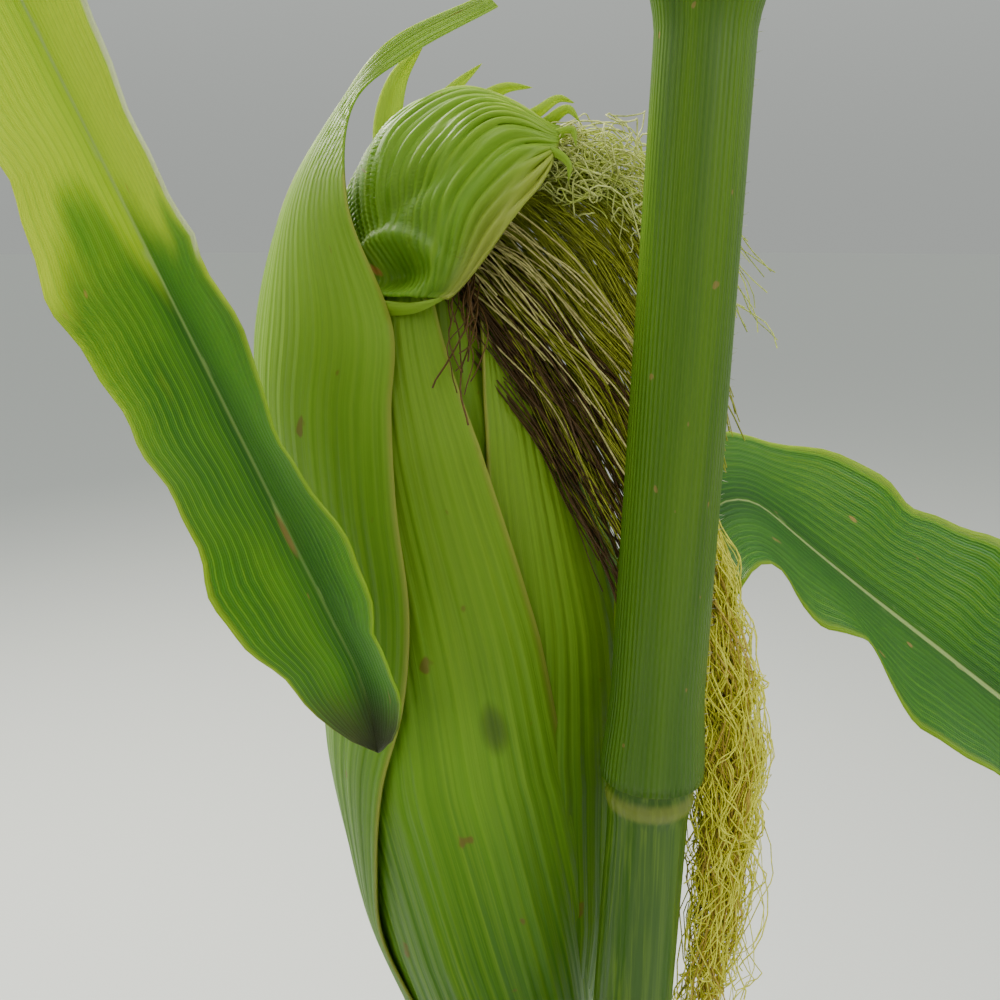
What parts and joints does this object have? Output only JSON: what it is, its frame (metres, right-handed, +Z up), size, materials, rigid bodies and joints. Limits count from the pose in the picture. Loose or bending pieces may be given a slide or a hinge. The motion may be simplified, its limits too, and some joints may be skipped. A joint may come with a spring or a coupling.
{
  "type": "maize plant",
  "caption": "Whole rooted maize plant with long arching leaves, a ripening ear in its husks with hanging silk, and a tassel at the top.",
  "frame": {"origin": "middle of the flat cut under the stalk, at ground level", "axes": "+Z up the stalk; -Y is the side the picture was taken from, and +X is that view's right"},
  "size_m": [1.0197, 0.9328, 2.1903],
  "materials": {
    "stalk": "smooth fresh green stalk with fine lengthwise ribs",
    "leaf_sheath": "soft green sheath with fine pale veins",
    "leaf_blade": "ribbed green leaf with a pale midrib",
    "husk": "ribbed yellow-green husk with brown spots",
    "silk": "tangled yellow and brown silk threads",
    "tassel": "straw-coloured spikelets"
  },
  "bodies": {
    "root": {"stalk": "stalk", "leaf_01_sheath": "leaf_sheath", "leaf_01_inner": "leaf_blade", "leaf_01_outer": "leaf_blade", "leaf_02_sheath": "leaf_sheath", "leaf_02_inner": "leaf_blade", "leaf_02_outer": "leaf_blade", "leaf_03_sheath": "leaf_sheath", "leaf_03_inner": "leaf_blade", "leaf_03_outer": "leaf_blade", "leaf_04_sheath": "leaf_sheath", "leaf_04_inner": "leaf_blade", "leaf_04_outer": "leaf_blade", "leaf_05_sheath": "leaf_sheath", "leaf_05_inner": "leaf_blade", "leaf_05_outer": "leaf_blade", "leaf_06_sheath": "leaf_sheath", "leaf_06_inner": "leaf_blade", "leaf_06_outer": "leaf_blade", "leaf_07_sheath": "leaf_sheath", "leaf_07_inner": "leaf_blade", "leaf_07_outer": "leaf_blade", "leaf_08_sheath": "leaf_sheath", "leaf_08_inner": "leaf_blade", "leaf_08_outer": "leaf_blade", "leaf_09_sheath": "leaf_sheath", "leaf_09_inner": "leaf_blade", "leaf_09_outer": "leaf_blade", "leaf_10_sheath": "leaf_sheath", "leaf_10_inner": "leaf_blade", "leaf_10_outer": "leaf_blade", "leaf_11_sheath": "leaf_sheath", "leaf_11_inner": "leaf_blade", "leaf_11_outer": "leaf_blade", "leaf_12_sheath": "leaf_sheath", "leaf_12_inner": "leaf_blade", "leaf_12_outer": "leaf_blade", "ear_shank": "husk", "ear_body": "husk", "husk_back": "husk", "husk_right": "husk", "husk_front": "husk", "husk_left": "husk", "husk_strap": "husk", "husk_hood": "husk", "silk_crown": "silk", "silk_fall": "silk", "tassel": "tassel"}
  },
  "joints": []
}
